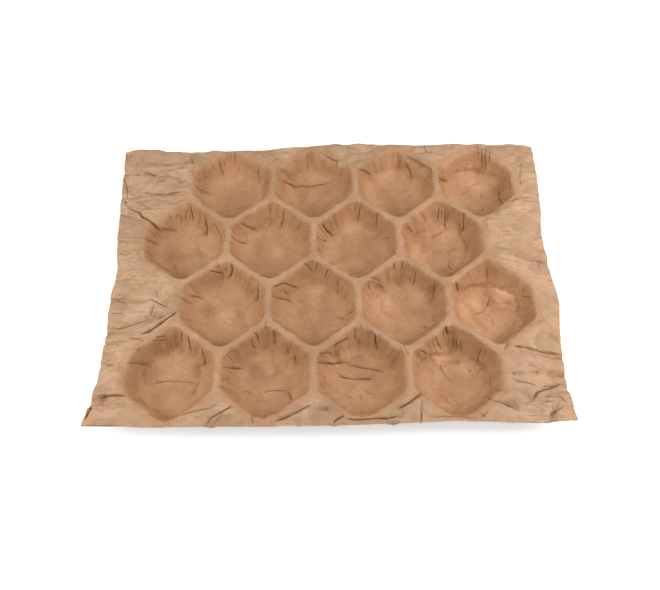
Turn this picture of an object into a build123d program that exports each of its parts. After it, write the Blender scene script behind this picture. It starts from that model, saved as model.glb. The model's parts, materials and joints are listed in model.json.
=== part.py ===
"""Fruit tray pressed from one sheet of crinkled kraft paper.

Staggered rows of six-sided cups with bowl-shaped floors are parted by narrow flat ridges, and creased
margins of bare paper are left at both ends. Millimetres, +X along the rows, +Z up. The tray stands on
its cup floors at z = 0.
"""
from build123d import *
import os
from functools import cache
from math import cos, hypot, radians, sqrt, tan

# Paper sheet
sheet_length = 404.0
sheet_width = 298.0
paper = 0.6

# Cup pattern
columns = 4
rows = 4
cup_pitch = 78.0
row_pitch = 67.5
row_stagger = 39.0
pattern_shift_x = 4.0
pattern_shift_y = -2.0

# One cup. The centre-lines of the ridges round it make a six-sided cell with a point at front and back.
ridge_width = 4.4
point_rise = 31.4
cup_depth = 26.0
wall_slope = radians(64.0)
side_corner_radius = 14.0
point_radius = 12.0

# The cup's floor rises from a flat middle in two steps. Widths are across the flat sides.
floor_width = 24.0
floor_slope = radians(14.0)
dish_width = 42.0
dish_slope = radians(28.0)

# The outward points of the first and last row are blunt, each by its own radius, from left to right.
back_point_radii = (28.0, 18.0, 16.0, 16.0)
front_point_radii = (17.0, 22.0, 25.0, 27.0)

# The sheet bends down towards its edges. Each bend's arc starts at a distance off the middle and a lift above
# the flat part, so it leaves the flat part with a slight kink.
side_bend_start = 142.0
side_bend_radius = 230.0
end_bend_start = 111.0
end_bend_radius = 200.0
bend_lift = 0.15

# Inward waver of the edges at equal steps: front and back from the left, sides from the back.
front_waver = (4.0, 0.2, 0.6, 0.0, 0.4, 1.6, 3.4, 1.4, 3.2)
back_waver = (4.0, 11.0, 9.0, 6.6, 0.0, 0.4, 0.6, 0.8, 0.0)
left_waver = (0.0, 2.4, 4.6, 7.8, 12.0, 10.8, 11.8, 10.6, 3.0)
right_waver = (0.0, 0.6, 2.6, 7.8, 6.5, 2.8, 9.5, 11.0, 8.2)

# Valley folds of the margins: where each one runs out, a point where it is past the edge, its depth there.
fold_flank = radians(38.0)
valley_folds = (
    ((-132.0, 100.0), (-204.0, 120.0), 3.0),
    ((-130.0, 84.0), (-204.0, 88.0), 2.2),
    ((-154.0, 42.0), (-202.0, 74.0), 4.0),
    ((-168.0, 30.0), (-200.0, 36.0), 2.6),
    ((-167.0, 18.0), (-200.0, 20.0), 2.2),
    ((-150.0, -34.0), (-198.0, -30.0), 2.8),
    ((-134.0, -46.0), (-196.0, -64.0), 3.6),
    ((-152.0, -70.0), (-196.0, -74.0), 2.4),
    ((-160.0, -95.0), (-196.0, -94.0), 2.6),
    ((-150.0, -122.0), (-200.0, -126.0), 4.2),
    ((158.0, 77.0), (208.0, 80.0), 3.2),
    ((145.0, 22.0), (204.0, 2.0), 3.6),
    ((147.0, -80.0), (200.0, -92.0), 3.0),
    ((146.0, -105.0), (200.0, -106.0), 2.2),
    ((154.0, -132.0), (200.0, -114.0), 4.0),
    ((183.0, -127.0), (166.0, -156.0), 3.2),
    ((-76.0, -128.0), (-104.0, -156.0), 3.4),
    ((16.0, -134.0), (-6.0, -156.0), 2.6),
    ((72.0, -124.0), (38.0, -156.0), 3.6),
    ((70.0, -134.0), (69.0, -156.0), 2.0),
)

# Extra length of the cutting shapes past the faces that they cut
reach = 6.0

rim_height = paper + cup_depth
block_base = -4 * reach


def cell(inset):
    """Corners of a cup's plan, the ridge centre-lines moved inward by a distance, from the back point on."""
    half_pitch = cup_pitch / 2
    point = (row_pitch + point_rise) / 2 - inset * hypot(half_pitch, point_rise) / half_pitch
    side = half_pitch - inset
    corner = point - side * point_rise / half_pitch
    return [(0, point), (-side, corner), (-side, -corner), (0, -point), (side, -corner), (side, corner)]


def rounded(walls, x, y, radius):
    """A cup's walls with the upright edge nearest to a plan position rounded off."""
    upright = walls.edges().filter_by(lambda edge: abs((edge % 0.5).Z) > 0.5)
    nearest = min(upright, key=lambda edge: hypot((edge @ 0.5).X - x, (edge @ 0.5).Y - y))
    return walls.fillet(radius, [nearest])


def frustum(inset, height, slope, growth):
    """Six-sided room with flat sides that rise at a slope through the cell of an inset at a height."""
    level = height - growth / cos(slope)
    low, high = (
        [Vector(x, y, z) for x, y in cell(inset - (z - level) / tan(slope))]
        for z in (paper - growth, rim_height + reach)
    )
    sides = [[low[i - 1], low[i], high[i], high[i - 1]] for i in range(len(low))]
    return Solid(Shell([Face(Wire.make_polygon(ring)) for ring in (low, high, *sides)]))


@cache
def cup_space(back_radius, front_radius, growth):
    """Room inside a cup centred on the origin, grown outward into the paper by a distance."""
    walls = frustum(ridge_width / 2, rim_height, wall_slope, growth)
    side_radii = [side_corner_radius, side_corner_radius]
    radii = [back_radius, *side_radii, front_radius, *side_radii]
    for (x, y), radius in zip(cell(ridge_width / 2), radii):
        walls = rounded(walls, x, y, radius + growth)
    floor_inset = (cup_pitch - floor_width) / 2
    dish_inset = (cup_pitch - dish_width) / 2
    dish_height = paper + (floor_inset - dish_inset) * tan(floor_slope)
    floor = frustum(floor_inset, paper, floor_slope, growth)
    return walls & frustum(dish_inset, dish_height, dish_slope, growth) & floor


def cup_spaces(growth):
    """Room inside every cup, row by row from the back."""
    spaces = []
    for row in range(rows):
        stagger = row_stagger / 2 if row % 2 == 0 else -row_stagger / 2
        for column in range(columns):
            x = pattern_shift_x + (column - (columns - 1) / 2) * cup_pitch + stagger
            y = pattern_shift_y + ((rows - 1) / 2 - row) * row_pitch
            back_radius = back_point_radii[column] if row == 0 else point_radius
            front_radius = front_point_radii[column] if row == rows - 1 else point_radius
            spaces.append(Pos(x, y) * cup_space(back_radius, front_radius, growth))
    return spaces


def bend_height(offset, start, radius):
    """Height of a bend's upper face at a distance from the middle, bent down past a start."""
    past = max(abs(offset) - start, 0)
    return rim_height + bend_lift - radius + sqrt(radius**2 - past**2)


def sheet_height(x, y):
    """Height of the sheet's upper face beside the cups and before the folds."""
    side = bend_height(x, side_bend_start, side_bend_radius)
    end = bend_height(y, end_bend_start, end_bend_radius)
    return min(rim_height, side, end)


def bent_section(half_span, start, radius, depth):
    """Upright section of the room under a bent sheet, at a depth below its upper face."""
    top = rim_height + bend_lift - depth
    end_height = top + depth - radius + sqrt((radius - depth) ** 2 - (half_span - start) ** 2)
    right = TangentArc((start, top), (half_span, end_height), tangent=(1, 0))
    left = TangentArc((-start, top), (-half_span, end_height), tangent=(-1, 0))
    base = Polyline(left @ 1, (-half_span, block_base), (half_span, block_base), right @ 1)
    return make_face([left, Line(left @ 0, right @ 0), right, base])


def spaced(first, last, count):
    """Values at equal steps from the first to the last."""
    return [first + (last - first) * i / (count - 1) for i in range(count)]


def sheet_plan():
    """Plan of the sheet with its wavering edges."""
    back = [sheet_width / 2 - inset for inset in back_waver]
    front = [inset - sheet_width / 2 for inset in front_waver]
    left = [inset - sheet_length / 2 for inset in left_waver]
    right = [sheet_length / 2 - inset for inset in right_waver]
    edges = [
        Polyline(*zip(spaced(left[0], right[0], len(back)), back)),
        Polyline(*zip(spaced(left[-1], right[-1], len(front)), front)),
        Polyline(*zip(left, spaced(back[0], front[0], len(left)))),
        Polyline(*zip(right, spaced(back[-1], front[-1], len(right)))),
    ]
    return make_face(edges)


def valley(inner, outer, depth, lowering):
    """Long wedge that cuts one margin fold, lowered to cut the same fold in a lower face."""
    start = Vector(*inner, sheet_height(*inner) - lowering)
    end = Vector(*outer, sheet_height(*outer) - depth - lowering)
    along = (end - start).normalized()
    height = 3 * reach
    half_width = height / tan(fold_flank)
    section = Plane(start - along * reach, x_dir=Vector(0, 0, 1).cross(along), z_dir=along)
    wedge = make_face(Polyline((0, 0), (half_width, height), (-half_width, height), close=True))
    return extrude(section * wedge, (end - start).length + 2 * reach)


def formed_block(depth):
    """Solid that carries the paper's face lying at a depth below the upper one, like a forming die."""
    half_length = sheet_length / 2 + reach
    half_width = sheet_width / 2 + reach
    side_section = Plane.XZ * bent_section(half_length, side_bend_start, side_bend_radius, depth)
    end_section = Plane.YZ * bent_section(half_width, end_bend_start, end_bend_radius, depth)
    lengthwise = extrude(side_section, half_width, both=True)
    crosswise = extrude(end_section, half_length, both=True)
    column = extrude(Pos(0, 0, block_base) * sheet_plan(), rim_height - depth - block_base)
    lowering = depth / cos(fold_flank)
    folds = [valley(inner, outer, fall, lowering) for inner, outer, fall in valley_folds]
    return (column & lengthwise & crosswise) - folds - cup_spaces(depth)


tray = formed_block(0) - formed_block(paper)
tray.label = "tray"

os.makedirs("parts", exist_ok=True)
export_step(tray, "parts/tray.step")
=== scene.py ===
"""Visual model of a fruit tray that is pressed from one sheet of crinkled kraft paper.

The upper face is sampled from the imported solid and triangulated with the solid's rims and folds and the
paper's creases as edges. It is then crumpled along its normals and closed by a lower face a paper
thickness away.
"""

import json
import math
from functools import cached_property
from typing import NamedTuple

import bpy
import numpy as np
from mathutils import Matrix, Vector, noise
from mathutils.bvhtree import BVHTree
from mathutils.geometry import delaunay_2d_cdt
from mathutils.kdtree import KDTree


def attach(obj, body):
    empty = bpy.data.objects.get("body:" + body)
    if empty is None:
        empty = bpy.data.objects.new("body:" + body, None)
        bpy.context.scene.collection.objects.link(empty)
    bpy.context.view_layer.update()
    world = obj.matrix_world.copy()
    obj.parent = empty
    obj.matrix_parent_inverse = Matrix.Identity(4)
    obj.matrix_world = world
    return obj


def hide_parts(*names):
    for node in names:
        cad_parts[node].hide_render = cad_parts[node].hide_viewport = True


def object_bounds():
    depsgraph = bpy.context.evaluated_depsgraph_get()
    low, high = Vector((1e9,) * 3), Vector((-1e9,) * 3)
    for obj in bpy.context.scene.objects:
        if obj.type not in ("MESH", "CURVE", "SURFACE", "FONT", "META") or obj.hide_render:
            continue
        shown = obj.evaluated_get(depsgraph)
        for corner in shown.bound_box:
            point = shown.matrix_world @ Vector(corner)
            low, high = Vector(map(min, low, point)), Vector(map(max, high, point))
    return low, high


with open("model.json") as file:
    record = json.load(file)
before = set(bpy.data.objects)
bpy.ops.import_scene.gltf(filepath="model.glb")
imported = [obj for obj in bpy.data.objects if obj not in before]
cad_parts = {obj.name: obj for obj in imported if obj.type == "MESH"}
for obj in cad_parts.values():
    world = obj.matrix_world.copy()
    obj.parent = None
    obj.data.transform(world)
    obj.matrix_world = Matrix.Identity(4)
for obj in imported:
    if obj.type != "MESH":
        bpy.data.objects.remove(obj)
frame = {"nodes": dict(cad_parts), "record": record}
cad_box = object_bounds()

MM = 0.001
draw_seed = 16
rng = np.random.default_rng(draw_seed)
noise.seed_set(draw_seed)
rim_height = cad_box[1][2]


class Folds(NamedTuple):
    """Folded noise: height and size of the folds, and a shift that sets the patterns apart."""
    height: float
    size: float | np.ndarray
    shift: float


class Sway(NamedTuple):
    """Smooth noise that bends fold lines: size of its waves, how far it moves a place, and a shift."""
    size: float
    reach: float
    shift: float


class Grain(NamedTuple):
    """Noise of the material: waves per metre, finer octaves and their roughness, a shift and a stretch, and
    the noise's values where a pattern that follows it is absent and full.
    """
    scale: float
    detail: float
    roughness: float = 0.55
    shift: float = 0.0
    stretch: tuple = (1.0, 1.0, 1.0)
    absent: float = 0.0
    full: float = 1.0


class Facets(NamedTuple):
    """Polygons of the material: count per metre, a stretch, and a shift of the noise that bends them."""
    scale: float
    stretch: tuple
    shift: float


# Camera, fitted to the photograph's cup pattern
image_width, image_height = 660, 590
focal_px = 765.4
sensor_width = 36.0
view_turn = math.radians(0.98)
view_elevation = math.radians(57.73)
view_roll = math.radians(0.38)
view_distance = 662.3 * MM
aim = Vector((-1.1 * MM, -29.3 * MM, rim_height))

# Paper, and the angles from which the solid's edges are kept and the sheet's edges are shaded sharp
paper = 0.6 * MM
sharp_fold = math.radians(22)
sharp_edge = math.radians(48)

# Spacing of the mesh points, and their rows, jitter and clearance in shares of it
wall_step = 1.45 * MM
margin_step = 1.9 * MM
floor_step = 2.6 * MM
edge_step = 1.5 * MM
crease_step = 1.4 * MM
point_row = math.sqrt(0.75)
point_jitter = 0.25
point_clearance = 0.55

# Points that agree to these digits of a metre are one. A direction is told from the shortest length on.
join_digits = 6
merge_distance = 1e-7
shortest_length = 1e-9

# The upward part of a normal tells the sheet's cut edge and the walls. Flat places above a share of the
# rim's height are margins or ridges. Places are looked up from above, and on the very edge a little nearer
# to the middle.
edge_upward = 0.05
wall_upward = 0.6
margin_level = 0.6
above_all = 1.0
edge_nudges = (1.0, 0.9995, 0.998)

# Rounds of smoothing, and how far each goes. The folds of the cup floors are soft from a depth below the rim
# on, the rims are rolled over, most at the margins, and the outline and the bends are evened out.
bowl_rounds, bowl_share = 16, 0.5
soft_from, soft_over = 9 * MM, 7 * MM
rim_rounds = 4
ridge_rim_reach, margin_rim_reach = 1.1 * MM, 4.0 * MM
ridge_rim_share, margin_rim_share = 0.2, 0.5
outline_rounds, outline_share = 8, 0.5
bend_rounds, bend_share = 1, 0.5

# A cup's six-sided cell, from the middle of one ridge to the next
cell_half_width = 39.0 * MM
cell_half_length = 49.45 * MM
cell_point_rise = 31.4 * MM
ridge_half_width = 2.2 * MM
wall_radius = 36.0 * MM

# How ridges, margins, walls and floors fade into each other, by distance from a cell or depth below the rim
apart_from, apart_over = 3.6 * MM, 6.0 * MM
margin_over = 4.0 * MM
hollow_from = 0.8 * ridge_half_width
ridge_hollow_over, margin_hollow_over = 1.2 * MM, 4.2 * MM
hollow_depth = 0.7 * MM
wall_until, wall_over = 21 * MM, 7 * MM
floor_from, floor_over = 14 * MM, 6 * MM

# Pleats that run down the walls, where a depth counts less than a way round and each cup has its own. A drop
# sets the mean height of its folds near zero.
wide_pleats = Folds(1.9 * MM, 9.0 * MM, 3.0)
fine_pleats = Folds(0.5 * MM, 4.0 * MM, 11.0)
pleat_drop = 0.5 * MM
pleat_stretch = 0.12
cup_shift = 0.3

# Crumple of the margins, the floors and the whole sheet
fold_sway = Sway(45 * MM, 16 * MM, 5.0)
long_folds = Folds(3.2 * MM, np.array((46, 12, 30)) * MM, 0.0)
short_folds = Folds(0.8 * MM, np.array((24, 6.5, 30)) * MM, 7.0)
crumple_sway = Sway(25 * MM, 8 * MM, 2.0)
wide_crumple = Folds(3.6 * MM, 17 * MM, 21.0)
small_crumple = Folds(0.64 * MM, 8 * MM, 31.0)
margin_drop = 1.6 * MM
dent_sway = Sway(40 * MM, 16 * MM, 9.0)
wide_dents = Folds(4.0 * MM, 30 * MM, 41.0)
small_dents = Folds(1.4 * MM, np.array((22, 12, 22)) * MM, 51.0)
dent_drop = 1.0 * MM
wobble = Folds(1.2 * MM, 9 * MM, 61.0)

# Creases as pixels of the photograph, by how deep and dark they are. Rifts are the deepest.
rifts = (
    ((127, 208), (133, 210), (139, 212), (142, 217), (150, 221), (157, 228), (161, 233)),
    ((179, 310), (170.5, 316.5), (161, 323), (156, 327.5), (150, 331), (143, 334), (139, 338)),
    ((91, 402), (90, 410), (86.5, 416), (84, 420)),
    ((396, 409), (403.5, 406.5), (411, 401.5), (417, 396.5), (422, 393.5)),
    ((533, 401), (534.5, 396.5), (537, 393), (542.5, 390.5), (552, 388), (562, 384.5)),
)
gashes = (
    ((100, 399.5), (108, 396.5), (117, 396), (125.5, 396.5)),
    ((150, 299), (154, 301), (160.5, 304.5), (167, 307)),
    ((275, 421), (287, 416.5), (300, 410.5), (315, 404.5)),
    ((207, 424), (213, 417), (225, 410), (233, 406)), ((333, 423), (338, 419), (344, 416)),
    ((344, 418.5), (358, 420), (372, 418.5), (388, 418.5), (401, 416.5)),
    ((205, 216), (207.5, 230), (207, 239)), ((321.5, 223.5), (327, 231.5), (332.5, 237)),
    ((437, 177), (443, 181), (448, 182)), ((258, 283), (259, 295), (256.5, 303)),
    ((188, 336), (189.5, 343), (192, 352)), ((202, 348.5), (205, 359), (206.5, 370)),
    ((231, 263.5), (233, 269), (231.5, 275), (229, 280)),
    ((336, 374), (341.5, 377.5), (350, 379), (360, 379.5), (375, 380)),
    ((374.5, 333), (376, 344), (378, 352)), ((455.5, 282), (457, 288), (459, 293)),
    ((451, 295.5), (453.5, 304.5)), ((445, 326.5), (446.5, 331), (448, 336.5)),
    ((333, 347), (338, 343), (345.5, 339.5), (350, 339)),
)
tucks = (
    ((124.5, 177), (127, 190), (128, 201)), ((124.5, 200), (127, 207)),
    ((140, 168), (143, 171.5), (156, 176), (169.5, 178), (180, 181), (190, 182)),
    ((140, 192), (151, 194), (168, 194.5), (176, 192.5), (189, 192)),
    ((143, 237.5), (150, 241), (160.5, 246)), ((144, 250), (150, 254.5), (152, 258)),
    ((191, 207.5), (194.5, 222)), ((215, 223), (218.5, 230.5), (221.5, 237), (221, 244)),
    ((218.5, 161.5), (220.5, 169.5), (225, 180.5)), ((192.5, 183.5), (199, 189), (211, 196.5)),
    ((258.5, 169), (260, 184)),
    ((280, 180), (288, 184.5), (295.5, 188), (301, 186.5), (311, 187), (320.5, 185), (331, 184)),
    ((330.5, 159.5), (337, 160.5), (336.5, 169.5)), ((359, 169.5), (366, 172), (371, 175.5)),
    ((240, 222.5), (246.5, 226.5), (257, 231)), ((229.5, 236), (237, 241), (248, 246.5)),
    ((270, 204), (270.5, 216)), ((284, 209), (283, 220.5), (281, 231)),
    ((316.5, 236.5), (320.5, 239), (327.5, 243)), ((360.5, 205), (359, 215), (357.5, 224)),
    ((377, 213), (376, 231)), ((318.5, 261.5), (315, 272)), ((329, 268.5), (324, 280)),
    ((338.5, 278.5), (337.5, 297)), ((423, 147), (426, 151), (430, 154)),
    ((405, 161.5), (410, 169.5), (411.5, 177), (412.5, 181)), ((497.5, 188), (498, 199), (503, 204.5)),
    ((406.5, 225), (411.5, 233)), ((401, 235), (406.5, 241.5)), ((439, 207.5), (437, 221)),
    ((445, 209), (445.5, 232)), ((464, 211), (463.5, 223), (463, 234)),
    ((491, 247), (497, 248), (502, 251), (512, 255)),
    ((447.5, 262.5), (449, 268), (453, 271), (461, 270)), ((467.5, 272), (467.5, 279)),
    ((416, 269.5), (414.5, 278), (413, 288)), ((403, 260), (402, 271)), ((155, 305.5), (151, 316.5)),
    ((154, 315), (155.5, 319)), ((129, 338), (138, 339.5), (145, 341)),
    ((111, 315), (118, 314), (126, 314.5)),
    ((110.5, 328.5), (120, 329.5), (129, 326.5), (140, 322.5), (147, 321)),
    ((176, 416.5), (189, 412.5), (204, 409.5), (211, 408), (217, 404)), ((181, 331.5), (183, 344)),
    ((150, 385), (157, 383.5), (170.5, 381.5), (189, 382), (200, 384.5)),
    ((129, 395), (140, 399.5), (145.5, 405), (150, 409), (160.5, 411.5), (174, 411.5)),
    ((179.5, 297), (186, 301), (193, 304.5)), ((209, 270.5), (224, 274)),
    ((271.5, 295.5), (280.5, 299), (293.5, 303)),
    ((272, 288), (279, 285), (284.5, 283.5), (299, 288.5)), ((254, 333), (257, 335), (258, 343)),
    ((274, 330), (275.5, 345)), ((295.5, 356), (296, 361), (296, 368)), ((265.5, 321), (265.5, 328.5)),
    ((262, 392.5), (273, 391.5), (287, 391)), ((287.5, 391), (290.5, 396), (292.5, 400.5)),
    ((251, 414.5), (253.5, 424)), ((222, 366.5), (232, 369), (243.5, 369.5)),
    ((315, 362), (324, 363.5), (333.5, 365), (341, 362.5), (351, 360)),
    ((349, 365), (360, 368), (371, 369.5), (385, 372.5)), ((360.5, 395), (361, 401.5)),
    ((434.5, 281), (434.5, 291), (431.5, 303)), ((421.5, 325.5), (428, 329.5)),
    ((434.5, 336), (438, 344.5), (441, 351.5)), ((419.5, 350), (424, 352.5), (429, 356.5)),
    ((482, 348), (478.5, 356), (477.5, 364)),
    ((438, 363.5), (441.5, 371.5), (446.5, 376.5), (451, 381), (454, 385)),
    ((437, 391.5), (445, 400), (453.5, 406)), ((491.5, 376), (490, 387)),
    ((504, 350), (506, 346), (510, 341)),
    ((511.5, 345.5), (529, 349), (536.5, 350.5), (541, 352.5), (549.5, 354), (562, 355.5)),
    ((512, 373.5), (522, 373)), ((514, 380), (529.5, 383.5), (537.5, 387)),
    ((542.5, 387), (552, 386), (562, 384)), ((544, 402.5), (555.5, 401)),
    ((554, 396.5), (560.5, 397), (567, 405)), ((548.5, 419), (554, 412), (565, 406)),
    ((481, 417), (485, 415), (488, 411)),
    ((488, 299), (487.5, 305), (485, 309.5), (481, 313), (473.5, 316)),
    ((487, 313), (491.5, 319), (494, 326)), ((486, 398), (497, 401.5), (506, 403.5), (517, 409)),
)
creases = (
    ((125.5, 152), (127.5, 160)), ((178, 163.5), (192, 163.5)), ((191, 156), (193.5, 166)),
    ((192, 170), (193.5, 178)), ((160.5, 207.5), (170.5, 204), (180, 200.5), (192, 199.5)),
    ((134.5, 201), (141, 203), (150, 208.5), (160.5, 213)), ((118, 238), (143, 237)),
    ((119, 250.5), (130, 251.5), (141, 249)), ((134.5, 263), (136.5, 265.5)),
    ((188, 209.5), (186, 217.5), (184.5, 220.5)), ((224, 232), (225.5, 238)),
    ((212, 163.5), (214.5, 170)), ((235, 152), (235, 166)), ((192.5, 193.5), (200, 201), (205, 206)),
    ((195, 176.5), (201, 182)), ((265, 185), (271, 179)), ((274.5, 176), (281, 184)),
    ((306.5, 151), (307.5, 175)), ((342.5, 167), (341, 177)), ((350.5, 177.5), (344.5, 184)),
    ((355.5, 177.5), (361, 184)), ((398, 151), (397, 173)), ((400, 156), (400, 172)),
    ((302, 221.5), (297, 230.5)), ((310, 235.5), (304, 239.5)), ((316.5, 249), (321, 252.5)),
    ((330.5, 220.5), (333, 227)), ((390, 237), (383, 239.5)), ((383, 259.5), (387, 257.5)),
    ((392.5, 251), (401, 258)), ((304, 263), (309, 268), (314, 273)),
    ((368.5, 277), (375, 279), (381, 282.5)), ((371, 281), (383, 288)), ((367.5, 280.5), (369.5, 290)),
    ((393.5, 263), (394.5, 271)), ((436.5, 181), (440, 182)), ((477.5, 145.5), (478, 156)),
    ((481.5, 146.5), (482, 167)), ((485, 147), (486, 170)), ((489, 150), (489.5, 165)),
    ((466, 157.5), (467, 167)), ((524, 160), (520.5, 165), (520, 176), (521, 189)),
    ((509.5, 180.5), (510.5, 191)), ((481, 194.5), (480, 201)), ((482, 207), (481, 212)),
    ((420.5, 213), (426, 221)), ((441.5, 209.5), (441.5, 220.5)), ((448, 211), (448, 221)),
    ((460.5, 223), (460.5, 237)), ((498, 257), (505, 259), (512, 260.5), (521, 261)),
    ((501, 223.5), (505, 223)), ((536.5, 264), (540, 272)), ((486.5, 265.5), (487, 279.5)),
    ((479, 270.5), (480, 275)), ((156.5, 290), (157.5, 297)), ((166.5, 290.5), (165.5, 297)),
    ((166.5, 300), (167, 308)), ((112, 299.5), (128, 299)), ((106, 348), (118, 349.5)),
    ((131, 349.5), (141, 348)), ((106, 365.5), (115, 363.5)), ((211, 412.5), (220.5, 409)),
    ((167, 425), (172.5, 421)), ((170.5, 343.5), (174.5, 351)), ((206.5, 352.5), (207, 357)),
    ((211.5, 376.5), (212, 380)), ((128, 363), (147.5, 364.5)), ((127, 383), (131, 386.5)),
    ((152, 340.5), (160.5, 340), (167, 341.5)), ((155, 337.5), (165, 336)),
    ((179, 311), (185.5, 315.5)), ((189, 296), (203, 298.5)), ((265, 295), (260.5, 296.5)),
    ((178.5, 279.5), (179.5, 284)), ((283.5, 290.5), (288, 295)), ((350, 313), (354.5, 311)),
    ((336, 317.5), (344.5, 319.5)), ((330, 333), (335, 331)), ((313, 344), (320, 341)),
    ((251.5, 338), (252, 346), (256, 349.5)), ((288, 346), (289, 356)), ((293, 346), (293.5, 350.5)),
    ((288, 363.5), (287.5, 369)), ((255.5, 319), (255.5, 323)),
    ((242, 393), (246.5, 391.5), (253, 396)), ((262, 411), (270, 409)), ((220.5, 362.5), (225, 365.5)),
    ((220.5, 377.5), (228, 380)), ((226, 354.5), (232.5, 361)), ((313, 403), (316, 407)),
    ((371, 328.5), (372, 337)), ((320.5, 354.5), (327, 352.5), (331, 354)),
    ((354, 333), (354.5, 341.5)), ((359, 323), (361, 328.5)), ((319, 384), (330, 394)),
    ((322, 381), (330, 388)), ((362, 390.5), (375, 395)), ((342.5, 394), (352, 399.5)),
    ((399, 346), (405, 356)), ((403, 346), (409.5, 356)), ((422, 398), (421.5, 419)),
    ((451.5, 306.5), (452, 311)), ((433, 316), (434, 322)), ((410, 361), (412, 364.5)),
    ((485, 349), (485, 355)), ((487, 348), (489, 351.5)), ((453.5, 336), (453.5, 349)),
    ((457, 336), (457.5, 350)), ((461, 338), (461.5, 352)), ((429.5, 387), (435.5, 391.5)),
    ((490.5, 393.5), (495, 393)), ((480, 293), (488, 299)), ((522, 297), (532, 297)),
    ((523.5, 288.5), (522.5, 297)), ((503, 339.5), (509, 337)),
    ((528, 363.5), (536.5, 367), (543.5, 369)), ((534, 371.5), (540, 373.5)),
    ((528, 396.5), (530.5, 401)), ((536, 406), (540, 408)), ((480, 413), (486, 419)),
    ((469, 414.5), (472.5, 416.5)), ((536.5, 319), (542.5, 323.5)),
    ((430, 418), (447, 416.5), (462, 417), (476, 419)), ((491, 146.5), (511, 146), (530, 145)),
)
soft_folds = (
    ((141, 277), (147.5, 273)), ((127, 271), (134.5, 267)), ((160.5, 229.5), (176, 232.5)),
    ((173.5, 260), (176, 271)), ((232, 193), (250, 191)), ((349, 161), (365, 159), (378, 156)),
    ((374, 192), (392.5, 190.5), (412, 191)), ((452, 173), (461, 171.5), (480, 171)),
    ((456, 196), (467, 192.5), (471, 190)), ((462, 190.5), (471, 186.5), (480, 182)),
    ((500, 200.5), (510.5, 200.5), (520.5, 199), (540, 197)),
    ((428, 241), (432, 237), (441, 233.5), (446, 232.5)),
    ((445, 254.5), (449.5, 251), (456, 250), (462.5, 254.5)), ((446, 237), (447, 243.5)),
    ((437, 253), (442, 259), (447.5, 263)), ((299.5, 311), (303, 313), (307.5, 312)),
    ((443, 367.5), (450, 364.5), (457, 363), (463, 361.5)), ((466.5, 371.5), (470, 370.5), (471, 375)),
    ((501, 304), (510, 305)), ((548, 332.5), (560, 344.5)), ((490, 389.5), (510, 391.5)),
    ((457, 292), (470, 287.5), (490, 287), (507, 288.5), (516, 295.5),
     (520, 305), (517, 318), (508, 330), (497, 338)),
    ((144, 368), (144, 378), (145, 386)), ((200, 368), (201, 384), (193, 398)),
    ((418, 372), (422, 362), (434, 355), (450, 354)), ((470, 357), (484, 367), (488, 380), (480, 395)),
    ((412, 245), (416, 236), (428, 230)), ((461, 236), (469, 248), (464, 262)),
)
broad_folds = (
    ((321, 152), (331, 158.5), (349, 162), (360, 164.5)),
    ((272, 422), (285, 417.5), (296, 412), (305, 408.5)), ((316, 413.5), (329.5, 408)),
    ((502, 403.5), (512.5, 406), (520, 410.5)), ((404, 155), (418, 163), (432, 172)),
    ((142, 160), (165, 162), (185, 160)), ((98, 402), (115, 402), (132, 402)),
)

# Width and depth of each kind of crease, the half width of its dark line of painted shade, and how dark that
# is
crease_kinds = (
    (rifts, 2.4 * MM, 2.0 * MM, 1.4 * MM, 1.0),
    (gashes, 1.5 * MM, 1.4 * MM, 0.85 * MM, 0.8),
    (tucks, 1.1 * MM, 0.9 * MM, 0.65 * MM, 0.6),
    (creases, 0.9 * MM, 0.6 * MM, 0.5 * MM, 0.5),
    (soft_folds, 2.8 * MM, 1.3 * MM, 0.6 * MM, 0.15),
    (broad_folds, 6.0 * MM, 2.6 * MM, 0.0, 0.0),
)

# A crease that the camera shows in fewer points is left out
fewest_points = 3

# A crease's section, in its widths and depths, and how it runs out, in shares of its length and depth
crease_reach = 3.0
valley_power = 1.5
shoulder_height = 0.35
shoulder_offset = 1.6
shoulder_spread = 0.7
end_length = 0.14
end_depth = 0.2

# Soft bulges of the cup floors: middle and radius in pixels, and height in millimetres, below zero for dents
bulges = (
    (234, 175, 11, 1.4), (226, 200, 9, -1.4), (311, 172, 11, 1.4), (305, 196, 10, -1.4),
    (389, 166, 10, 1.4), (395, 198, 10, -1.4), (465, 161, 10, 1.7), (471, 188, 10, 3.1),
    (499, 192, 7, -2.4), (195, 229, 9, 2.5), (173, 255, 9, -3.4), (191, 249, 9, 2.0),
    (261, 247, 9, -3.7), (277, 255, 10, 2.5), (247, 237, 8, 2.0), (347, 229, 9, 2.0),
    (366, 248, 10, -1.4), (446, 238, 11, 3.7), (456, 254, 7, 3.4), (423, 245, 7, -3.4),
    (411, 248, 7, 2.0), (229, 317, 12, 4.1), (205, 311, 8, -3.1), (315, 293, 10, 2.5),
    (303, 312, 8, -2.0), (384, 308, 11, 3.1), (409, 314, 5, -3.1), (420, 303, 9, 3.1),
    (501, 298, 14, 4.8), (468, 306, 9, 2.7), (484, 310, 6, -3.7), (488, 330, 8, 1.7),
    (172, 366, 14, 1.7), (158, 392, 10, -2.0), (272, 374, 9, 3.7), (254, 372, 7, -3.4),
    (243, 376, 7, 2.0), (253, 408, 9, -1.7), (345, 360, 9, 2.4), (372, 362, 10, 2.0),
    (359, 388, 9, 1.7), (439, 360, 9, 3.1), (463, 371, 10, 4.1), (446, 380, 6, -3.7),
    (466, 394, 8, 2.0),
)
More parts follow.
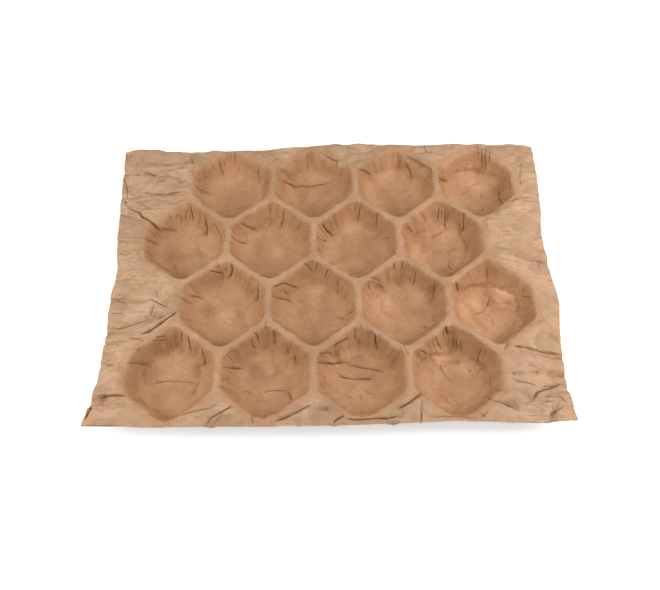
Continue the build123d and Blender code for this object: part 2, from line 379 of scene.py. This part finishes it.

# Colours of the paper, and the tints that its forms give it, most of them painted light and shade
yellow_tan = (0.605, 0.405, 0.25)
red_tan = (0.605, 0.383, 0.25)
# Brown of the painted shade along creases and fine folds
line_shade_brown = (0.22, 0.1, 0.042)
blotch_tint = (0.86, 0.83, 0.8)
fleck_tint = (0.88, 0.84, 0.8)
ridge_tint = (0.92, 0.84, 0.77)
# Painted shade and bounced light in the cups: redder on the floors, darker and redder on the walls
floor_shade_tint = (1.02, 0.9, 0.78)
wall_shade_tint = (0.92, 0.77, 0.62)
# Painted shade in dents and painted light on bulges
dent_shade_tint = (0.86, 0.84, 0.82)
bulge_light_tint = (1.13, 1.15, 1.17)
# Painted shade in valleys and painted highlights on crests
valley_shade_tint = (0.8, 0.74, 0.68)
crest_highlight_tint = (1.08, 1.09, 1.1)
# Painted light and shade of the facets, a random tone for each
broad_facet_light_tints = (0.9, 0.89, 0.88), (1.06, 1.07, 1.08)
small_facet_light_tints = (0.95, 0.94, 0.93), (1.03, 1.03, 1.03)

# Grain of the paper. Patches say where the fine lines of painted shade show.
blotches = Grain(scale=40, detail=3, absent=0.66, full=0.34)
hues = Grain(scale=55, detail=2, shift=3.0, absent=0.35, full=0.65)
fibres = Grain(scale=900, detail=4, roughness=0.7, absent=0.65, full=0.35)
felt = Grain(scale=1500, detail=3)
pleat_lines = Grain(scale=170, detail=1)
pleat_patches = Grain(scale=30, detail=1, absent=0.4, full=0.58)
wrinkle_lines = Grain(scale=150, detail=2, stretch=(0.14, 1.0, 0.6))
wrinkle_patches = Grain(scale=40, detail=1, absent=0.42, full=0.6)
craze_lines = Grain(scale=48, detail=1, roughness=0.4, shift=7.0)
craze_patches = Grain(scale=33, detail=1, absent=0.45, full=0.6)
border_patches = Grain(scale=45, detail=1, shift=19.0, absent=0.45, full=0.6)
noise_middle = 0.5

# Facets of the paper between its fine folds, and what is left of their painted light and shade and heights
# at the cups
broad_facets = Facets(scale=70, stretch=(0.7, 1.0, 1.0), shift=13.0)
small_facets = Facets(scale=150, stretch=(0.8, 1.0, 1.0), shift=17.0)
facet_bends = Grain(scale=60, detail=2, roughness=0.5)
facet_bend_reach = 12 * MM
facet_tones = 0.2, 0.8
cup_tone_share = 0.5
cup_facet_share = 0.25

# Half width of fine lines of painted shade, in units of their noise or polygons, and how dark they are
pleat_shade = 0.042, 0.52
wrinkle_shade = 0.03, 0.45
craze_shade = 0.009, 0.4
border_shade = 0.03, 0.3

# Painted shade of creases, from the mark that first shows to the darkest, and how dark that is
crease_shown = 0.05, 0.6
crease_darkness = 0.9

# Heights in millimetres at which dents and bulges have their full painted shade and light, and bends in one
# over millimetres from which valleys take painted shade and crests painted highlights, and at which these
# are full
relief_range = -3, 4
valley_bends = 0.12, 0.6
crest_bends = -0.05, -0.5

# Surface of the paper. The crinkle is made of folds and facets, each by its share, and felt lies over it.
kraft_roughness = 0.78
kraft_specular = 0.28
fold_share = 0.6
broad_facet_share = 0.7
small_facet_share = 0.25
crinkle_strength, crinkle_height = 0.7, 4 * MM
felt_strength, felt_height = 0.3, 0.3 * MM

# Stage
floor_half = 4.0
floor_grey = (0.8, 0.8, 0.8)
floor_roughness = 0.9
floor_specular = 0.0
floor_glow = 0.55
white = (1, 1, 1)
sky_strength = 0.31

# Soft lights: name, place, size and power in watts
lamps = (
    ("light_left", (-0.53, -0.16, 0.42), (0.3, 0.4), 2.75),
    ("light_right", (0.53, -0.08, 0.42), (0.3, 0.4), 3.0),
    ("light_back", (0.18, 0.36, 0.5), (0.3, 0.3), 0.6),
)


def make_camera():
    """Camera at the photograph's viewing angle, and its place and turn."""
    data = bpy.data.cameras.new("camera")
    data.sensor_width = sensor_width
    data.lens = focal_px / image_width * sensor_width
    camera = bpy.data.objects.new("camera", data)
    level = math.cos(view_elevation)
    away = Vector((-math.sin(view_turn) * level, -math.cos(view_turn) * level, math.sin(view_elevation)))
    place = aim + away * view_distance
    turn = (-away).to_track_quat("-Z", "Y").to_matrix() @ Matrix.Rotation(view_roll, 3, "Z")
    camera.matrix_world = Matrix.Translation(place) @ turn.to_4x4()
    bpy.context.collection.objects.link(camera)
    bpy.context.scene.camera = camera
    return place, turn


def triangles_of(mesh):
    """Joined vertices, triangles and triangle normals of a mesh whose faces don't share vertices."""
    mesh.calc_loop_triangles()
    raw = np.empty(len(mesh.vertices) * 3)
    mesh.vertices.foreach_get("co", raw)
    tris = np.empty(len(mesh.loop_triangles) * 3, int)
    mesh.loop_triangles.foreach_get("vertices", tris)
    points, joined = np.unique(np.round(raw.reshape(-1, 3), join_digits), axis=0, return_inverse=True)
    tris = joined.reshape(-1)[tris].reshape(-1, 3)
    a, b, c = (points[tris[:, i]] for i in range(3))
    normals = np.cross(b - a, c - a)
    area = np.linalg.norm(normals, axis=1)
    kept = area > 0
    return points, tris[kept], normals[kept] / area[kept, None]


def sides_of(tris):
    """Sides of the triangles, each in its triangle's direction."""
    return np.concatenate([tris[:, [0, 1]], tris[:, [1, 2]], tris[:, [2, 0]]])


def open_edges(tris):
    """Sides that only one triangle has."""
    sides = sides_of(tris)
    _, first, counts = np.unique(np.sort(sides, axis=1), axis=0, return_index=True, return_counts=True)
    return sides[first[counts == 1]]


def feature_lines(points, tris, normals):
    """Rims, folds and outer edge of the solid's upper face, as pairs of points."""
    sides = np.sort(sides_of(tris), axis=1)
    owners = np.tile(np.arange(len(tris)), 3)
    order = np.lexsort((sides[:, 1], sides[:, 0]))
    sides, owners = sides[order], owners[order]
    pairs = np.flatnonzero((sides[1:] == sides[:-1]).all(axis=1))
    one, other = normals[owners[pairs]], normals[owners[pairs + 1]]
    upper_one, upper_other = one[:, 2] > edge_upward, other[:, 2] > edge_upward
    cut_one, cut_other = np.abs(one[:, 2]) < edge_upward, np.abs(other[:, 2]) < edge_upward
    bent = (one * other).sum(axis=1) < math.cos(sharp_fold)
    rim = upper_one & upper_other & bent
    outer = (upper_one & cut_other) | (upper_other & cut_one)
    return [points[sides[i]] for i in pairs[rim | outer]]


class Plan:
    """Plan points and the edges between them that the triangulation has to keep."""

    def __init__(self):
        self.points = []
        self.edges = []
        self.known = {}

    def index(self, x, y):
        """Number of a point, which is added if it is new."""
        key = (round(x, join_digits), round(y, join_digits))
        if key not in self.known:
            self.known[key] = len(self.points)
            self.points.append((x, y))
        return self.known[key]

    def line(self, start, end, step):
        """Adds a row of edges about a step long."""
        start, end = np.asarray(start[:2]), np.asarray(end[:2])
        parts = max(1, round(math.dist(start, end) / step))
        row = [self.index(*(start + (end - start) * i / parts)) for i in range(parts + 1)]
        self.edges += [(a, b) for a, b in zip(row, row[1:]) if a != b]


def over(x, y):
    """Place and normal of the solid's upper face at a plan point, or None beside the sheet."""
    place, normal, _, _ = solid.ray_cast(Vector((x, y, above_all)), Vector((0, 0, -1)))
    return None if place is None else (place, normal)


def region_at(x, y):
    """Kind of paper at a plan point: wall, margin or floor, or None beside the sheet."""
    hit = over(x, y)
    if hit is None:
        return None
    place, normal = hit
    if normal.z < wall_upward:
        return "wall"
    return "margin" if place.z > margin_level * rim_height else "floor"


def seen(pixel):
    """Place on the solid that the camera shows at a pixel, or None."""
    x, y = pixel
    ray = Vector(((x - image_width / 2) / focal_px, (image_height / 2 - y) / focal_px, -1))
    place, _, _, _ = solid.ray_cast(eye, eye_turn @ ray)
    return place


def traced(pixels):
    """Line on the solid that the camera shows along some pixels, with points about a step apart."""
    line = []
    for start, end in zip(pixels, pixels[1:]):
        parts = math.ceil(math.dist(start, end))
        for i in range(parts + 1):
            share = i / parts
            place = seen([a + (b - a) * share for a, b in zip(start, end)])
            if place is not None and (not line or (place - line[-1]).length > crease_step):
                line.append(place)
    return np.array([tuple(place) for place in line])


def cup_fields(places):
    """For each place its distance inside a cup's cell, its direction from that cup, the cup's number and
    how far other cups are, from 0 on a ridge between cups to 1. The distance is below zero in the margins.
    """
    boxes = np.array([opening["box_m"] for opening in frame["record"]["physics"]["openings"]])
    centres = boxes.mean(axis=1)[:, :2]
    offsets = places[:, None, :2] - centres
    across, along = np.abs(offsets[:, :, 0]), np.abs(offsets[:, :, 1])
    lean = math.hypot(cell_half_width, cell_point_rise) / cell_half_width
    slanted = (cell_half_length - along - across * cell_point_rise / cell_half_width) / lean
    insets = np.minimum(cell_half_width - across, slanted)
    cup = insets.argmax(axis=1)
    rows = np.arange(len(places))
    offset = offsets[rows, cup]
    heading = offset / np.maximum(np.linalg.norm(offset, axis=1), shortest_length)[:, None]
    second_gap = -np.sort(insets, axis=1)[:, -2]
    apart = np.clip((second_gap - apart_from) / apart_over, 0, 1)
    return insets[rows, cup], heading, cup, apart


def flat_mesh():
    """Plan triangulation of the sheet, fine on the walls, with the rims, folds and creases as edges."""
    plan = Plan()
    for start, end in feature_lines(solid_points, solid_tris, solid_normals):
        plan.line(start, end, edge_step)
    for line, _, _, half_width, _ in pressed_lines:
        ahead = np.gradient(line[:, :2], axis=0)
        aside = np.column_stack([-ahead[:, 1], ahead[:, 0]]) / np.linalg.norm(ahead, axis=1)[:, None]
        for shift in (0.0, -half_width, half_width):
            row = line[:, :2] + aside * shift
            for start, end in zip(row, row[1:]):
                plan.line(start, end, crease_step)
    held = KDTree(len(plan.points))
    for i, (x, y) in enumerate(plan.points):
        held.insert((x, y, 0), i)
    held.balance()
    low, high = cad_box
    for step, region in ((wall_step, "wall"), (margin_step, "margin"), (floor_step, "floor")):
        for row, row_y in enumerate(np.arange(low[1], high[1], step * point_row)):
            for row_x in np.arange(low[0] + (row % 2) * step / 2, high[0], step):
                x, y = (row_x, row_y) + rng.uniform(-point_jitter, point_jitter, 2) * step
                if region_at(x, y) == region and held.find((x, y, 0))[2] > point_clearance * step:
                    plan.index(x, y)
    out = delaunay_2d_cdt([Vector(point) for point in plan.points], plan.edges, [], 0, merge_distance)
    points = np.array([tuple(point) for point in out[0]])
    tris = np.array(out[2])
    inside = np.array([over(*middle) is not None for middle in points[tris].mean(axis=1)])
    used, tris = np.unique(tris[inside], return_inverse=True)
    return points[used], tris.reshape(-1, 3)


def lifted(points):
    """Places on the solid's upper face over plan points."""
    heights = []
    for x, y in points:
        hits = (over(x * nudge, y * nudge) for nudge in edge_nudges)
        hit = next((hit for hit in hits if hit), None)
        heights.append(hit[0].z if hit else rim_height)
    return np.column_stack([points, heights])


def between(low, high, share):
    """Values at a share of the way from the low to the high one."""
    return low + (high - low) * share


def smoothed(places, tris, rounds, share):
    """Places drawn by their share towards the middle of their neighbours, with the outer edge held."""
    sides = np.unique(np.sort(sides_of(tris), axis=1), axis=0)
    share = np.array(share)[:, None]
    share[open_edges(tris).ravel()] = 0
    degree = np.bincount(sides.ravel(), minlength=len(places))[:, None]
    for _ in range(rounds):
        total = np.zeros_like(places)
        np.add.at(total, sides[:, 0], places[sides[:, 1]])
        np.add.at(total, sides[:, 1], places[sides[:, 0]])
        places = places + share * (total / degree - places)
    return places


def bends_of(places, tris, facing):
    """Bend at each place as one over its radius, positive in valleys and negative on crests."""
    places = smoothed(places, tris, bend_rounds, np.full(len(places), bend_share))
    sides = sides_of(tris)
    one, other = np.concatenate([sides, sides[:, ::-1]]).T
    step = places[other] - places[one]
    rise = np.bincount(one, (step * facing[one]).sum(axis=1), len(places))
    spread = np.bincount(one, (step**2).sum(axis=1), len(places))
    return 2 * rise / spread


def calmed(values, edges):
    """Values evened out along a chain of edges, so that the sheet's outline has no fine teeth."""
    ends = np.unique(edges)
    for _ in range(outline_rounds):
        total = np.zeros(len(values))
        count = np.zeros(len(values))
        for one, other in (edges.T, edges.T[::-1]):
            np.add.at(total, one, values[other])
            np.add.at(count, one, 1)
        values = values.copy()
        values[ends] = between(values[ends], total[ends] / count[ends], outline_share)
    return values


def normals_of(places, tris):
    """Unit normals of the vertices, weighted by triangle area."""
    a, b, c = (places[tris[:, i]] for i in range(3))
    facing = np.cross(b - a, c - a)
    total = np.zeros_like(places)
    for i in range(3):
        np.add.at(total, tris[:, i], facing)
    return total / np.linalg.norm(total, axis=1)[:, None]


def press(depths, crease_shades, places, line, width, depth, half_width, darkness):
    """Adds one crease: a sharp valley along the line that fades at its ends, with low shoulders and painted
    shade.
    """
    reach = crease_reach * width
    low, high = line.min(axis=0) - reach, line.max(axis=0) + reach
    near = np.flatnonzero(((places > low) & (places < high)).all(axis=1))
    if not len(near):
        return
    spots = places[near]
    best = np.full(len(near), np.inf)
    along = np.zeros(len(near))
    lengths = np.linalg.norm(np.diff(line, axis=0), axis=1)
    passed = 0.0
    for start, end, length in zip(line, line[1:], lengths):
        share = np.clip(((spots - start) @ (end - start)) / length**2, 0, 1)
        gap = np.linalg.norm(spots - start - share[:, None] * (end - start), axis=1)
        closer = gap < best
        best[closer] = gap[closer]
        along[closer] = (passed + share[closer] * length) / lengths.sum()
        passed += length
    fade = np.clip(np.minimum(along, 1 - along) / end_length, end_depth, 1)
    valley = np.clip(1 - best / width, 0, 1) ** valley_power
    off_shoulder = (best / width - shoulder_offset) / shoulder_spread
    depths[near] += depth * fade * (shoulder_height * np.exp(-(off_shoulder**2)) - valley)
    # Dark line of painted shade along the crease's middle
    if darkness:
        crease_shades[near] = np.maximum(crease_shades[near], darkness * fade * np.clip(1 - best / half_width, 0, 1))


def swell(places, x, y, radius, height):
    """Height of one soft bulge at some places, round the place that the camera shows at a pixel."""
    middle = seen((x, y))
    spread = radius * (middle - eye).length / focal_px
    gap = np.linalg.norm(places - np.array(middle), axis=1)
    return height * MM * np.exp(-((gap / spread) ** 2))


def folded(spots, folds):
    """Height of folded noise at some spots: 0 along its sharp valleys."""
    scaled = spots / folds.size + folds.shift
    return folds.height * np.array([abs(noise.noise(Vector(spot))) for spot in scaled])


def wavy(spots, sway):
    """Spots moved about by smooth noise, so that folds over them run in bent lines."""
    scaled = spots / sway.size + sway.shift
    return spots + sway.reach * np.array([tuple(noise.noise_vector(Vector(spot))) for spot in scaled])


def crumple(places):
    """Height of the paper's crumple over the pressed form, and the fields that the material uses."""
    inset, heading, cup, apart = cup_fields(places)
    below = rim_height - places[:, 2]
    margin = np.clip(-inset / margin_over, 0, 1)
    hollow_over = between(ridge_hollow_over, margin_hollow_over, apart)
    hollow = np.clip((inset - hollow_from) / hollow_over, 0, 1) * np.clip(below / hollow_depth, 0, 1)
    ridge = np.clip(inset / margin_over + 1, 0, 1) * (1 - hollow)
    wall = hollow * np.clip((wall_until - below) / wall_over, 0, 1)
    floor = hollow * np.clip((below - floor_from) / floor_over, 0, 1)

    around = np.column_stack([heading * wall_radius, pleat_stretch * below + cup_shift * cup])
    pleats = folded(around, wide_pleats) + folded(around, fine_pleats) - pleat_drop
    swayed = wavy(places, fold_sway)
    folds = folded(swayed, long_folds) + folded(swayed, short_folds)
    crumples = folded(wavy(places, crumple_sway), wide_crumple) + folded(places, small_crumple)
    dents = folded(wavy(places, dent_sway), wide_dents) + folded(swayed, small_dents) - dent_drop
    heights = wall * pleats + margin * (folds + crumples - margin_drop) + floor * dents
    fields = {"margin": margin, "hollow": hollow, "wall": wall, "ridge": ridge}
    return heights + folded(places, wobble), around, fields


def rounded_form(sampled, tris):
    """Places on the solid with soft folds in the cup floors and rolled rims. Only their heights change."""
    below = rim_height - sampled[:, 2]
    inset, _, _, apart = cup_fields(sampled)
    bowl = bowl_share * np.clip((below - soft_from) / soft_over, 0, 1)
    reach = between(ridge_rim_reach, margin_rim_reach, apart)
    off_rim = (inset - ridge_half_width) / reach
    rim = between(ridge_rim_share, margin_rim_share, apart) * np.exp(-(off_rim**2))
    form = sampled.copy()
    form[:, 2:] = smoothed(form[:, 2:], tris, bowl_rounds, bowl)
    form[:, 2:] = smoothed(form[:, 2:], tris, rim_rounds, rim)
    return form


def sheet_mesh(upper, lower, tris):
    """Mesh of the sheet with an upper and a lower face and an edge between them."""
    count = len(upper)
    one, other = open_edges(tris).T
    first_half = np.column_stack([other, one, one + count])
    second_half = np.column_stack([other, one + count, other + count])
    faces = np.concatenate([tris, tris[:, ::-1] + count, first_half, second_half])
    mesh = bpy.data.meshes.new("tray_paper")
    mesh.from_pydata(np.concatenate([upper, lower]).tolist(), [], faces.tolist())
    mesh.polygons.foreach_set("use_smooth", np.ones(len(faces), bool))
    mesh.set_sharp_from_angle(angle=sharp_edge)
    return mesh


def build_tray():
    """Crumpled sheet that stands for the pressed solid."""
    points, tris = flat_mesh()
    sampled = lifted(points)
    form = rounded_form(sampled, tris)
    facing = normals_of(form, tris)
    depths, around, fields = crumple(form)
    relief = sum(swell(form, *bulge) for bulge in bulges)
    depths = calmed(depths, open_edges(tris)) + relief
    crease_shades = np.zeros(len(form))
    for crease in pressed_lines:
        press(depths, crease_shades, sampled, *crease)
    upper = form + facing * depths[:, None]
    upper[:, 2] = np.maximum(upper[:, 2], paper)
    lower = upper - facing * paper
    lower[:, 2] = np.maximum(lower[:, 2], 0)
    fields |= {"crease": crease_shades, "valley": bends_of(upper, tris, facing) * MM, "relief": relief / MM}

    mesh = sheet_mesh(upper, lower, tris)
    for name, values in fields.items():
        field = mesh.attributes.new(name, "FLOAT", "POINT")
        field.data.foreach_set("value", np.tile(values, 2))
    field = mesh.attributes.new("around", "FLOAT_VECTOR", "POINT")
    field.data.foreach_set("vector", np.tile(around.ravel(), 2))
    mesh.update()
    tray = bpy.data.objects.new("tray_paper", mesh)
    bpy.context.collection.objects.link(tray)
    return tray


class Shading:
    """Nodes of one material. Apart from feed, a method adds nodes and returns their output."""

    def __init__(self, name):
        self.material = bpy.data.materials.new(name)
        self.material.use_nodes = True
        self.nodes = self.material.node_tree.nodes
        self.inputs = self.nodes["Principled BSDF"].inputs

    def feed(self, socket, value):
        """Links an output to a socket, or sets the socket to a number, colour or vector."""
        if isinstance(value, bpy.types.NodeSocket):
            self.material.node_tree.links.new(value, socket)
        elif socket.type == "RGBA":
            socket.default_value = (*value, 1)
        else:
            socket.default_value = value

    def add(self, kind, output, **values):
        """New node with its inputs fed by name, and one of its outputs."""
        node = self.nodes.new(kind)
        for name, value in values.items():
            self.feed(node.inputs[name.replace("_", " ").title()], value)
        return node.outputs[output]

    @cached_property
    def place(self):
        """Place on the object."""
        return self.add("ShaderNodeTexCoord", "Object")

    def attribute(self, name, output="Fac"):
        """Field that the mesh carries."""
        node = self.nodes.new("ShaderNodeAttribute")
        node.attribute_name = name
        return node.outputs[output]

    def worked(self, kind, operation, values):
        """Result of a node that works on its inputs in their order."""
        node = self.nodes.new(kind)
        node.operation = operation
        for socket, value in zip(node.inputs, values):
            self.feed(socket, value)
        return node.outputs[0]

    def maths(self, operation, *values):
        """Sum, product or the like of some numbers."""
        return self.worked("ShaderNodeMath", operation, values)

    def mixed(self, share, first, second, blend="MIX"):
        """Colour that goes from the first to the second with a share."""
        node = self.nodes.new("ShaderNodeMix")
        node.data_type = "RGBA"
        node.blend_type = blend
        sockets = [socket for socket in node.inputs if socket.enabled]
        for socket, value in zip(sockets, (share, first, second)):
            self.feed(socket, value)
        return next(socket for socket in node.outputs if socket.enabled)

    def tinted(self, share, colour, tint):
        """Colour that takes on a tint with a share."""
        return self.mixed(share, colour, tint, "MULTIPLY")

    def ranged(self, value, from_min, from_max, to_min=0, to_max=1):
        """Number carried over from one range to another, and kept inside that."""
        return self.add(
            "ShaderNodeMapRange", "Result",
            value=value, from_min=from_min, from_max=from_max, to_min=to_min, to_max=to_max,
        )

    def grain(self, grain, vector=None, output="Fac"):
        """Noise over the object's places or another vector."""
        vector = self.place if vector is None else vector
        shift = (grain.shift, grain.shift, grain.shift)
        mapped = self.add("ShaderNodeMapping", "Vector", vector=vector, location=shift, scale=grain.stretch)
        return self.add(
            "ShaderNodeTexNoise", output,
            vector=mapped, scale=grain.scale, detail=grain.detail, roughness=grain.roughness,
        )

    def patches(self, grain):
        """Share of a pattern that comes and goes with noise."""
        return self.ranged(self.grain(grain), grain.absent, grain.full)

    def valleys(self, grain, vector=None):
        """Folded noise: 0 along its sharp valleys."""
        return self.maths("ABSOLUTE", self.maths("SUBTRACT", self.grain(grain, vector), noise_middle))

    def facets(self, facets):
        """Distance from the borders of bent polygons, and a tone for each polygon."""
        bend = self.grain(facet_bends._replace(shift=facets.shift), output="Color")
        reach = (facet_bend_reach, facet_bend_reach, facet_bend_reach)
        bent = self.worked("ShaderNodeVectorMath", "MULTIPLY_ADD", (bend, reach, self.place))
        vector = self.add("ShaderNodeMapping", "Vector", vector=bent, scale=facets.stretch)
        borders, cells = (self.nodes.new("ShaderNodeTexVoronoi") for _ in range(2))
        borders.feature = "DISTANCE_TO_EDGE"
        for node in (borders, cells):
            self.feed(node.inputs["Vector"], vector)
            self.feed(node.inputs["Scale"], facets.scale)
        return borders.outputs["Distance"], self.ranged(cells.outputs["Color"], *facet_tones)

    def bump(self, height, strength, distance, **values):
        """Normal of the surface with some height over it."""
        return self.add(
            "ShaderNodeBump", "Normal", height=height, strength=strength, distance=distance, **values
        )


def kraft_material():
    """Brown kraft paper with fibres, soft blotches, fine crinkles, and painted shade and light on its
    creases and relief.
    """
    kraft = Shading("kraft")
    names = ("crease", "margin", "hollow", "wall", "ridge", "valley", "relief")
    crease, margin, hollow, wall, ridge, valley, relief = map(kraft.attribute, names)
    broad_border, broad_tone = kraft.facets(broad_facets)
    small_border, small_tone = kraft.facets(small_facets)

    tan = kraft.mixed(kraft.patches(hues), yellow_tan, red_tan)
    blotched = kraft.tinted(kraft.patches(blotches), tan, blotch_tint)
    ridged = kraft.tinted(ridge, blotched, ridge_tint)
    # Painted shade and bounced light inside the cups: redder on the floors, darker and redder on the walls
    cup_shade_tint = kraft.mixed(wall, floor_shade_tint, wall_shade_tint)
    pressed = kraft.mixed(hollow, ridged, kraft.tinted(1.0, blotched, cup_shade_tint))
    # Painted shade in dents and painted light on bulges
    relief_light_tint = kraft.mixed(kraft.ranged(relief, *relief_range), dent_shade_tint, bulge_light_tint)
    relief_shaded = kraft.tinted(1.0, pressed, relief_light_tint)
    # Painted shade in valleys, then painted highlights on crests
    shaded = kraft.tinted(kraft.ranged(valley, *valley_bends), relief_shaded, valley_shade_tint)
    crest_lit = kraft.tinted(kraft.ranged(valley, *crest_bends), shaded, crest_highlight_tint)
    flecked = kraft.tinted(kraft.patches(fibres), crest_lit, fleck_tint)
    # Painted light and shade of each facet, less in the cups and on the ridges
    broad_light_tint = kraft.mixed(broad_tone, *broad_facet_light_tints)
    small_light_tint = kraft.mixed(small_tone, *small_facet_light_tints)
    tone_share = kraft.ranged(kraft.maths("MAXIMUM", hollow, ridge), 0, 1, 1, cup_tone_share)
    facet_lit = kraft.tinted(tone_share, flecked, kraft.tinted(1.0, broad_light_tint, small_light_tint))

    pleat = kraft.valleys(pleat_lines, kraft.attribute("around", "Vector"))
    pleat_share = kraft.maths("MULTIPLY", wall, kraft.patches(pleat_patches))
    wrinkle = kraft.valleys(wrinkle_lines)
    wrinkle_share = kraft.maths("MULTIPLY", margin, kraft.patches(wrinkle_patches))
    craze = kraft.valleys(craze_lines)
    craze_share = kraft.maths("MULTIPLY", margin, kraft.patches(craze_patches))
    # Painted shade along the creases
    lines = kraft.ranged(crease, *crease_shown, 0, crease_darkness)
    # Painted shade along fine folds of walls and margins and along facet borders
    for distance, share, (half_width, darkness) in (
        (pleat, pleat_share, pleat_shade),
        (wrinkle, wrinkle_share, wrinkle_shade),
        (craze, craze_share, craze_shade),
        (broad_border, kraft.patches(border_patches), border_shade),
    ):
        fine_line = kraft.maths("MULTIPLY", kraft.ranged(distance, 0, half_width, darkness, 0), share)
        lines = kraft.maths("MAXIMUM", lines, fine_line)
    kraft.feed(kraft.inputs["Base Color"], kraft.mixed(lines, facet_lit, line_shade_brown))

    folds = kraft.maths("MULTIPLY_ADD", pleat, pleat_share, craze)
    folds = kraft.maths("MULTIPLY_ADD", wrinkle, wrinkle_share, folds)
    facets = kraft.maths("MULTIPLY", small_border, small_facet_share)
    facets = kraft.maths("MULTIPLY_ADD", broad_border, broad_facet_share, facets)
    facet_share = kraft.ranged(kraft.maths("MAXIMUM", wall, ridge), 0, 1, 1, cup_facet_share)
    facets = kraft.maths("MULTIPLY", facets, facet_share)
    crumpled = kraft.maths("MULTIPLY_ADD", folds, fold_share, facets)
    crinkled = kraft.bump(crumpled, crinkle_strength, crinkle_height)
    felted = kraft.bump(kraft.grain(felt), felt_strength, felt_height, normal=crinkled)
    kraft.feed(kraft.inputs["Normal"], felted)
    kraft.feed(kraft.inputs["Roughness"], kraft_roughness)
    kraft.feed(kraft.inputs["Specular IOR Level"], kraft_specular)
    return kraft.material


def floor_material():
    """White that glows where it is seen or mirrored and lights nothing else."""
    shading = Shading("floor_white")
    path = shading.nodes.new("ShaderNodeLightPath").outputs
    mirrored = shading.maths("ADD", path["Is Glossy Ray"], path["Is Transmission Ray"])
    shown = shading.maths("ADD", path["Is Camera Ray"], mirrored)
    shading.feed(shading.inputs["Emission Strength"], shading.maths("MULTIPLY", shown, floor_glow))
    shading.feed(shading.inputs["Emission Color"], white)
    shading.feed(shading.inputs["Base Color"], floor_grey)
    shading.feed(shading.inputs["Roughness"], floor_roughness)
    shading.feed(shading.inputs["Specular IOR Level"], floor_specular)
    return shading.material


def make_stage():
    """White floor and even white surroundings."""
    mesh = bpy.data.meshes.new("floor")
    corners = ((-1, -1), (1, -1), (1, 1), (-1, 1))
    mesh.from_pydata([(x * floor_half, y * floor_half, 0) for x, y in corners], [], [(0, 1, 2, 3)])
    mesh.materials.append(floor_material())
    floor = bpy.data.objects.new("floor", mesh)
    bpy.context.collection.objects.link(floor)
    world = bpy.data.worlds.new("studio")
    world.use_nodes = True
    background = world.node_tree.nodes["Background"]
    background.inputs["Color"].default_value = (*white, 1)
    background.inputs["Strength"].default_value = sky_strength
    bpy.context.scene.world = world


def softbox(name, place, size, watts):
    """Rectangular soft light aimed at the middle of the tray."""
    data = bpy.data.lights.new(name, "AREA")
    data.shape = "RECTANGLE"
    data.size, data.size_y = size
    data.energy = watts
    lamp = bpy.data.objects.new(name, data)
    lamp.location = place
    lamp.rotation_euler = (-lamp.location).to_track_quat("-Z", "Y").to_euler()
    bpy.context.collection.objects.link(lamp)


eye, eye_turn = make_camera()
solid_points, solid_tris, solid_normals = triangles_of(frame["nodes"]["tray"].data)
solid = BVHTree.FromPolygons(solid_points.tolist(), solid_tris.tolist())
pressed_lines = [
    (line, *sizes)
    for kind, *sizes in crease_kinds
    for line in map(traced, kind)
    if len(line) >= fewest_points
]

bpy.context.scene.view_settings.view_transform = "Standard"
tray = build_tray()
tray.data.materials.append(kraft_material())
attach(tray, "root")
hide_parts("tray")
make_stage()
for lamp in lamps:
    softbox(*lamp)
